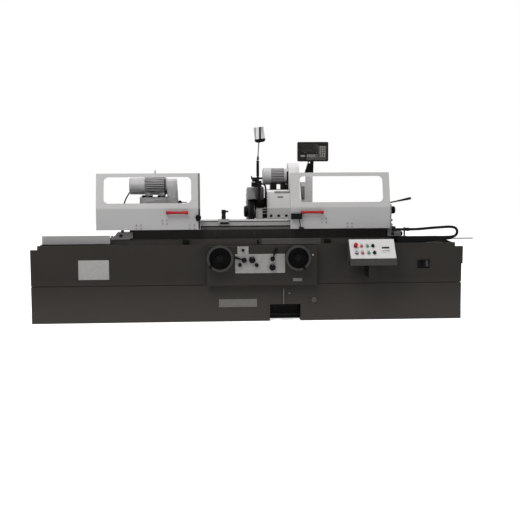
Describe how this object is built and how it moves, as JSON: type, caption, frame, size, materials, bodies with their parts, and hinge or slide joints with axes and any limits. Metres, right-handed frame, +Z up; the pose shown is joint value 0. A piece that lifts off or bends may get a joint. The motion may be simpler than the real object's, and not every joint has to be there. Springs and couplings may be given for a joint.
{
  "type": "cylindrical grinder",
  "caption": "Long-bed cylindrical grinder with swivelling table, work head, tailstock, guarded wheelhead, sliding splash doors, apron controls and operator console.",
  "frame": {"origin": "on the floor under the work axis, at the middle of the bed's length", "axes": "+X along the table to the operator's right, +Y from the operator to the back, +Z up"},
  "size_m": [4.255, 2.01, 1.856],
  "materials": {
    "bed_paint": "satin paint, dark warm grey",
    "table_paint": "dark, oiled",
    "machined": "ground",
    "pale_paint": "satin paint, pale grey",
    "pale_cast": "satin paint, pale grey",
    "mid_paint": "satin paint, mid grey",
    "cover_paint": "satin paint, grey",
    "dark_paint": "satin paint, near black",
    "panel_face": "satin",
    "black_plastic": "matte",
    "red_plastic": "gloss",
    "green_plastic": "gloss",
    "hose_rubber": "matte",
    "pane": "clear",
    "lamp_metal": "bright",
    "abrasive": "rough"
  },
  "bodies": {
    "bed": {"bed_casting": "bed_paint", "rear_bed": "bed_paint", "table_cylinder": "machined", "front_apron": "bed_paint", "valve_panel": "panel_face", "console_box": "cover_paint", "console_panel": "panel_face", "hose_tray": "dark_paint", "readout_column": "cover_paint", "table_hose": "hose_rubber"},
    "lower_table": {"lower_table": "table_paint", "way_covers": "cover_paint", "table_piston_rod": "machined"},
    "upper_table": {"upper_table": "table_paint", "door_rail": "machined"},
    "left_door": {"left_door": "pale_paint", "left_window": "pane"},
    "right_door": {"right_door": "pale_paint", "right_window": "pane"},
    "workhead": {"workhead_body": "table_paint", "workhead_motor": "pale_cast"},
    "tailstock": {"tailstock_body": "table_paint"},
    "quill": {"tailstock_quill": "machined"},
    "wheelhead": {"wheel_slide": "mid_paint", "wheelhead_cover": "pale_cast", "wheel_guard": "mid_paint", "coolant_valve": "dark_paint", "coolant_hose": "hose_rubber", "wheel_motor": "pale_cast", "belt_cover": "cover_paint", "lamp_post": "dark_paint", "drive_belts": "hose_rubber"},
    "wheel_spindle": {"wheel_spindle": "machined", "grinding_wheel": "abrasive"},
    "readout": {"readout_box": "black_plastic"},
    "cross_handwheel": {"cross_handwheel": "dark_paint"},
    "dresser": {"dresser": "machined"},
    "feed_screw": {"feed_screw": "machined"},
    "foot_pedal": {"foot_pedal": "dark_paint"},
    "isolator_handle": {"isolator_handle": "black_plastic"},
    "lamp_arm": {"lamp_arm": "machined"},
    "lamp_head": {"lamp_head": "lamp_metal"},
    "left_trip_dog": {"left_trip_dog": "table_paint"},
    "left_valve_knob": {"left_valve_knob": "black_plastic"},
    "left_valve_lever": {"left_valve_lever": "black_plastic"},
    "mode_selector": {"mode_selector": "black_plastic"},
    "quill_lever": {"quill_lever": "machined"},
    "reverse_lever": {"reverse_lever": "machined"},
    "right_trip_dog": {"right_trip_dog": "table_paint"},
    "right_valve_knob": {"right_valve_knob": "black_plastic"},
    "right_valve_lever": {"right_valve_lever": "black_plastic"},
    "stop_button": {"stop_button": "red_plastic"},
    "table_handwheel": {"table_handwheel": "dark_paint"},
    "wheel_rotor": {"wheel_rotor": "machined"},
    "wheel_start_button": {"wheel_start_button": "green_plastic"},
    "wheel_stop_button": {"wheel_stop_button": "red_plastic"},
    "work_rotor": {"work_rotor": "machined"},
    "work_spindle": {"work_spindle": "machined"},
    "work_start_button": {"work_start_button": "green_plastic"},
    "work_stop_button": {"work_stop_button": "red_plastic"}
  },
  "joints": [
    {"name": "table_slide", "type": "slide", "parent": "bed", "child": "lower_table", "axis": [1, 0, 0], "range_m": [-0.58, 0.48], "deforming": ["table_hose"]},
    {"name": "table_swivel", "type": "hinge", "parent": "lower_table", "child": "upper_table", "pos_m": [0.075, 0, 0.776], "axis": [0, 0, 1], "range_deg": [-3, 5]},
    {"name": "left_door_slide", "type": "slide", "parent": "upper_table", "child": "left_door", "axis": [1, 0, 0], "range_m": [-0.02, 0.15]},
    {"name": "right_door_slide", "type": "slide", "parent": "upper_table", "child": "right_door", "axis": [1, 0, 0], "range_m": [-0.4, 0.02]},
    {"name": "left_dog_slide", "type": "slide", "parent": "lower_table", "child": "left_trip_dog", "axis": [1, 0, 0], "range_m": [-0.5, 0.08]},
    {"name": "right_dog_slide", "type": "slide", "parent": "lower_table", "child": "right_trip_dog", "axis": [1, 0, 0], "range_m": [-0.02, 0.5]},
    {"name": "reverse_lever_turn", "type": "hinge", "parent": "bed", "child": "reverse_lever", "pos_m": [0.098, -0.4, 0.706], "axis": [0, 1, 0], "range_deg": [-10, 10]},
    {"name": "workhead_slide", "type": "slide", "parent": "upper_table", "child": "workhead", "axis": [-1, 0, 0], "range_m": [-0.1, 0.12]},
    {"name": "work_spindle_turn", "type": "hinge", "parent": "workhead", "child": "work_spindle", "pos_m": [-0.7, 0, 0.995], "axis": [1, 0, 0], "continuous": true},
    {"name": "work_rotor_turn", "type": "hinge", "parent": "workhead", "child": "work_rotor", "pos_m": [-0.7, 0, 1.277], "axis": [1, 0, 0], "continuous": true},
    {"name": "tailstock_slide", "type": "slide", "parent": "upper_table", "child": "tailstock", "axis": [1, 0, 0], "range_m": [-0.1, 0.02]},
    {"name": "quill_slide", "type": "slide", "parent": "tailstock", "child": "quill", "axis": [1, 0, 0], "range_m": [0, 0.03], "stiffness_N_per_m": 2000, "springref_m": -0.03},
    {"name": "quill_lever_turn", "type": "hinge", "parent": "tailstock", "child": "quill_lever", "pos_m": [1.34, -0.11, 1.094], "axis": [0, 1, 0], "range_deg": [0, 46]},
    {"name": "wheelhead_infeed", "type": "slide", "parent": "bed", "child": "wheelhead", "axis": [0, -1, 0], "range_m": [-0.06, 0.19]},
    {"name": "feed_screw_turn", "type": "hinge", "parent": "bed", "child": "feed_screw", "pos_m": [0.313, 0.8, 0.7], "axis": [0, 1, 0], "continuous": true},
    {"name": "cross_handwheel_turn", "type": "hinge", "parent": "bed", "child": "cross_handwheel", "pos_m": [0.458, -0.49, 0.619], "axis": [0, 1, 0], "continuous": true},
    {"name": "table_handwheel_turn", "type": "hinge", "parent": "bed", "child": "table_handwheel", "pos_m": [-0.276, -0.49, 0.619], "axis": [0, 1, 0], "continuous": true},
    {"name": "wheel_spindle_turn", "type": "hinge", "parent": "wheelhead", "child": "wheel_spindle", "pos_m": [0.07, 0.42, 0.995], "axis": [1, 0, 0], "continuous": true},
    {"name": "wheel_rotor_turn", "type": "hinge", "parent": "wheelhead", "child": "wheel_rotor", "pos_m": [0.5, 0.7, 1.343], "axis": [1, 0, 0], "continuous": true},
    {"name": "lamp_arm_tilt", "type": "hinge", "parent": "wheelhead", "child": "lamp_arm", "pos_m": [0.142, 0.43, 1.5], "axis": [0, 1, 0], "range_deg": [-40, 40]},
    {"name": "lamp_head_tilt", "type": "hinge", "parent": "lamp_arm", "child": "lamp_head", "pos_m": [0.154, 0.43, 1.697], "axis": [0, 1, 0], "range_deg": [-35, 35]},
    {"name": "readout_swivel", "type": "hinge", "parent": "bed", "child": "readout", "pos_m": [0.676, 0.505, 1.352], "axis": [0, 0, 1], "range_deg": [-40, 40]},
    {"name": "left_valve_lever_turn", "type": "hinge", "parent": "bed", "child": "left_valve_lever", "pos_m": [-0.048, -0.5, 0.596], "axis": [0, 1, 0], "range_deg": [-30, 30]},
    {"name": "left_valve_knob_turn", "type": "hinge", "parent": "bed", "child": "left_valve_knob", "pos_m": [0.027, -0.5, 0.598], "axis": [0, 1, 0], "range_deg": [-135, 135]},
    {"name": "right_valve_lever_turn", "type": "hinge", "parent": "bed", "child": "right_valve_lever", "pos_m": [0.22, -0.5, 0.606], "axis": [0, 1, 0], "range_deg": [-30, 30]},
    {"name": "right_valve_knob_turn", "type": "hinge", "parent": "bed", "child": "right_valve_knob", "pos_m": [0.219, -0.5, 0.526], "axis": [0, 1, 0], "range_deg": [-135, 135]},
    {"name": "stop_button_press", "type": "slide", "parent": "bed", "child": "stop_button", "axis": [0, 0.7341, -0.679], "range_m": [0, 0.004], "stiffness_N_per_m": 600, "springref_m": -0.002},
    {"name": "wheel_stop_button_press", "type": "slide", "parent": "bed", "child": "wheel_stop_button", "axis": [0, 0.7341, -0.679], "range_m": [0, 0.004], "stiffness_N_per_m": 600, "springref_m": -0.002},
    {"name": "wheel_start_button_press", "type": "slide", "parent": "bed", "child": "wheel_start_button", "axis": [0, 0.7341, -0.679], "range_m": [0, 0.004], "stiffness_N_per_m": 600, "springref_m": -0.002},
    {"name": "work_stop_button_press", "type": "slide", "parent": "bed", "child": "work_stop_button", "axis": [0, 0.7341, -0.679], "range_m": [0, 0.004], "stiffness_N_per_m": 600, "springref_m": -0.002},
    {"name": "work_start_button_press", "type": "slide", "parent": "bed", "child": "work_start_button", "axis": [0, 0.7341, -0.679], "range_m": [0, 0.004], "stiffness_N_per_m": 600, "springref_m": -0.002},
    {"name": "mode_selector_turn", "type": "hinge", "parent": "bed", "child": "mode_selector", "pos_m": [0.999, -0.6352, 0.66144], "axis": [0, 0.7341, -0.679], "range_deg": [-45, 45]},
    {"name": "isolator_turn", "type": "hinge", "parent": "bed", "child": "isolator_handle", "pos_m": [1.679, -0.4, 0.534], "axis": [0, 1, 0], "range_deg": [0, 90]},
    {"name": "foot_pedal_press", "type": "hinge", "parent": "bed", "child": "foot_pedal", "pos_m": [0.3475, -0.328, 0.056], "axis": [1, 0, 0], "range_deg": [0, 20], "stiffness_Nm_per_rad": 8, "springref_deg": -11.46},
    {"name": "dresser_slide", "type": "slide", "parent": "upper_table", "child": "dresser", "axis": [1, 0, 0], "range_m": [-0.08, 0.1]}
  ],
  "couplings": [
    {"joint": "work_rotor_turn", "follows": "work_spindle_turn", "ratio": 2.2368},
    {"joint": "wheel_rotor_turn", "follows": "wheel_spindle_turn", "ratio": 1.2698},
    {"joint": "quill_lever_turn", "follows": "quill_slide", "rad_per_m": 26.18},
    {"joint": "cross_handwheel_turn", "follows": "wheelhead_infeed", "rad_per_m": 628.32},
    {"joint": "feed_screw_turn", "follows": "wheelhead_infeed", "rad_per_m": 628.32},
    {"joint": "table_handwheel_turn", "follows": "table_slide", "rad_per_m": 314.16}
  ]
}
